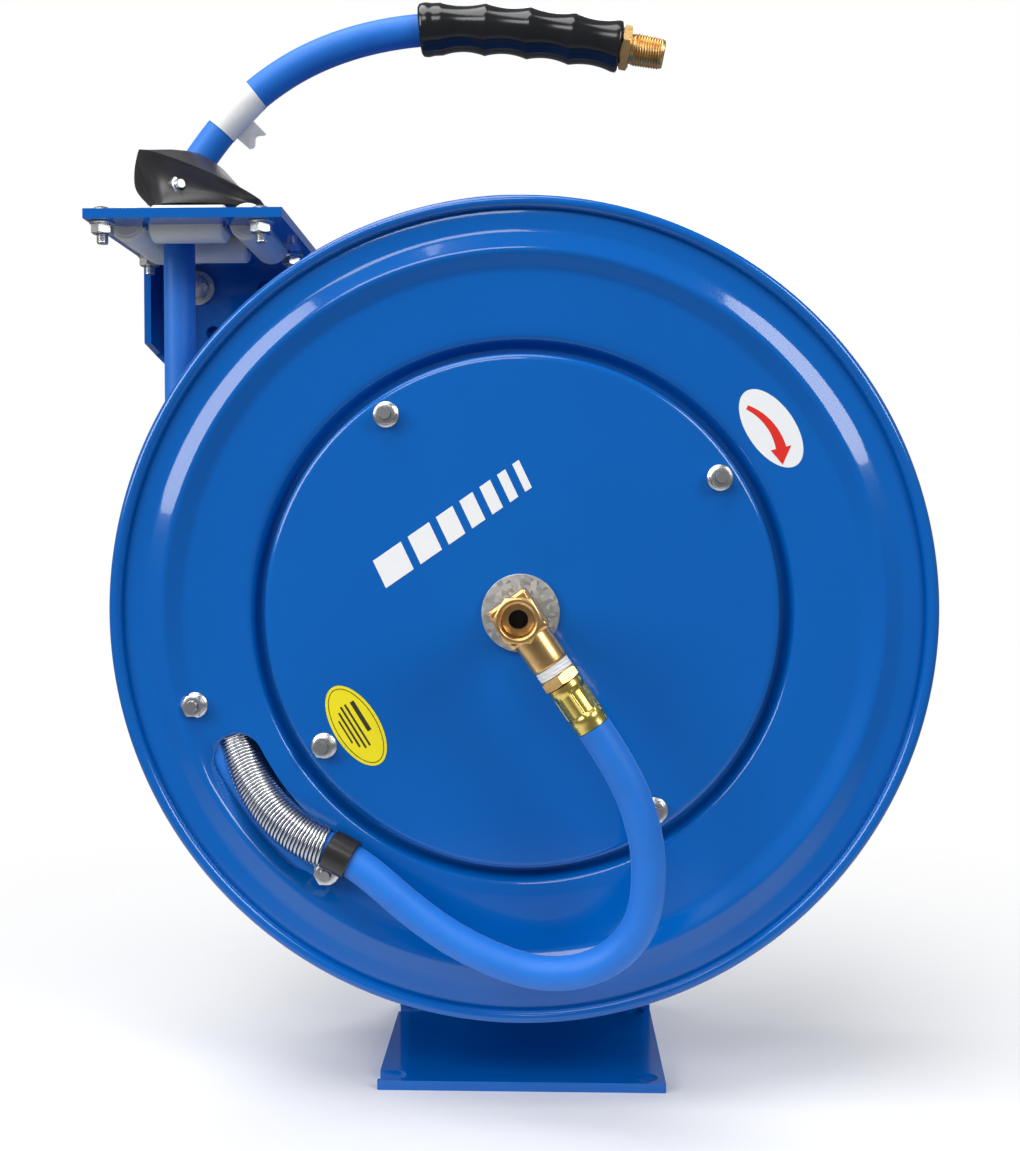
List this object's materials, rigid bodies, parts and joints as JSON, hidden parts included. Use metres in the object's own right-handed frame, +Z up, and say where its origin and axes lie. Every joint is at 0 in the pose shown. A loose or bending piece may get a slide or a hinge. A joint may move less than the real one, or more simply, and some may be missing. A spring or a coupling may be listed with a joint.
{
  "type": "spring-retractable air hose reel",
  "caption": "Spring-rewound steel air hose reel on a single pedestal, with a roller hose guide, brass inlet swivel, hose stop and gripped hose end.",
  "frame": {"origin": "centre of the base plate underside", "axes": "+Z up, +Y from the air inlet side towards the pedestal plate, +X to the right seen from the inlet side; the drum turns about Y"},
  "size_m": [0.4295, 0.229, 0.5741],
  "materials": {
    "blue_paint": "gloss",
    "blue_hose": "satin",
    "zinc_steel": "zinc plated",
    "turned_steel": "machined",
    "spring_steel": "tempered",
    "guard_wire": "bright",
    "brass": "machined",
    "gold_ferrule": "plated",
    "nylon": "satin",
    "black_plastic": "satin",
    "black_rubber": "satin",
    "seal_rubber": "matt",
    "white_tape": "matt",
    "yellow_label": "gloss",
    "white_label": "gloss",
    "white_tag": "satin"
  },
  "bodies": {
    "root": {"base_pedestal": "blue_paint", "guide_arm": "blue_paint", "guide_bracket": "blue_paint", "guide_plate": "blue_paint", "axle": "turned_steel", "axle_spacer": "zinc_steel", "axle_washer": "zinc_steel", "axle_nut": "zinc_steel", "spring_arbor": "turned_steel", "pawl_pin": "zinc_steel", "guide_bolts": "zinc_steel", "guide_nuts": "zinc_steel", "bracket_bolts": "zinc_steel", "arm_bolts": "zinc_steel", "roller_pins": "zinc_steel", "hose_lead": "blue_hose"},
    "drum": {"front_flange": "blue_paint", "rear_flange": "blue_paint", "drum_hub": "blue_paint", "spring_case": "blue_paint", "case_cover": "blue_paint", "cover_studs": "zinc_steel", "cover_nuts": "zinc_steel", "bearing_tube": "turned_steel", "front_bush": "nylon", "rear_bush": "nylon", "main_spring": "spring_steel", "ratchet_wheel": "turned_steel", "hose_loop": "blue_hose", "hose_pack": "blue_hose", "spring_guard": "guard_wire", "hose_clamp": "black_rubber", "inner_clip": "black_rubber", "flange_fasteners": "zinc_steel", "swivel_body": "brass", "swivel_washer": "zinc_steel", "swivel_nut": "zinc_steel", "thread_tape": "white_tape", "hose_nipple": "brass", "crimp_ferrule": "gold_ferrule", "caution_label": "yellow_label", "rotation_label": "white_label"},
    "swivel": {"swivel_collar": "brass", "swivel_seals": "seal_rubber"},
    "pawl": {"pawl": "turned_steel", "pawl_spring": "spring_steel"},
    "left_roller": {"roller_left": "nylon"},
    "right_roller": {"roller_right": "nylon"},
    "front_roller": {"roller_front": "nylon"},
    "back_roller": {"roller_back": "nylon"},
    "hose_end": {"hose_tail": "blue_hose", "hose_core": "blue_hose", "stop_half_front": "black_plastic", "stop_half_rear": "black_plastic", "stop_bolts": "zinc_steel", "hose_grip": "black_rubber", "outlet_fitting": "brass", "hose_tag": "white_tag"}
  },
  "joints": [
    {"name": "hose_pull", "type": "slide", "parent": "root", "child": "hose_end", "axis": [0, 0, 1], "range_m": [0, 0.09], "stiffness_N_per_m": 50, "springref_m": -0.6},
    {"name": "drum_spin", "type": "hinge", "parent": "root", "child": "drum", "pos_m": [0, 0, 0.25], "axis": [0, 1, 0], "continuous": true},
    {"name": "inlet_swivel", "type": "hinge", "parent": "drum", "child": "swivel", "pos_m": [0, -0.13, 0.25], "axis": [0, 1, 0], "continuous": true},
    {"name": "pawl_swing", "type": "hinge", "parent": "root", "child": "pawl", "pos_m": [0.048, 0.0385, 0.204], "axis": [0, 1, 0], "range_deg": [0, 20], "stiffness_Nm_per_rad": 0.05, "springref_deg": -68.75, "deforming": ["pawl_spring"]},
    {"name": "left_roller_spin", "type": "hinge", "parent": "root", "child": "left_roller", "pos_m": [-0.2055, -0.0245, 0.4515], "axis": [0, 1, 0], "continuous": true},
    {"name": "right_roller_spin", "type": "hinge", "parent": "root", "child": "right_roller", "pos_m": [-0.1425, -0.0245, 0.4515], "axis": [0, 1, 0], "continuous": true},
    {"name": "front_roller_spin", "type": "hinge", "parent": "root", "child": "front_roller", "pos_m": [-0.174, -0.049, 0.4515], "axis": [1, 0, 0], "continuous": true},
    {"name": "back_roller_spin", "type": "hinge", "parent": "root", "child": "back_roller", "pos_m": [-0.174, 0, 0.4515], "axis": [1, 0, 0], "continuous": true}
  ],
  "couplings": [
    {"joint": "drum_spin", "follows": "hose_pull", "rad_per_m": 5.3634}
  ]
}
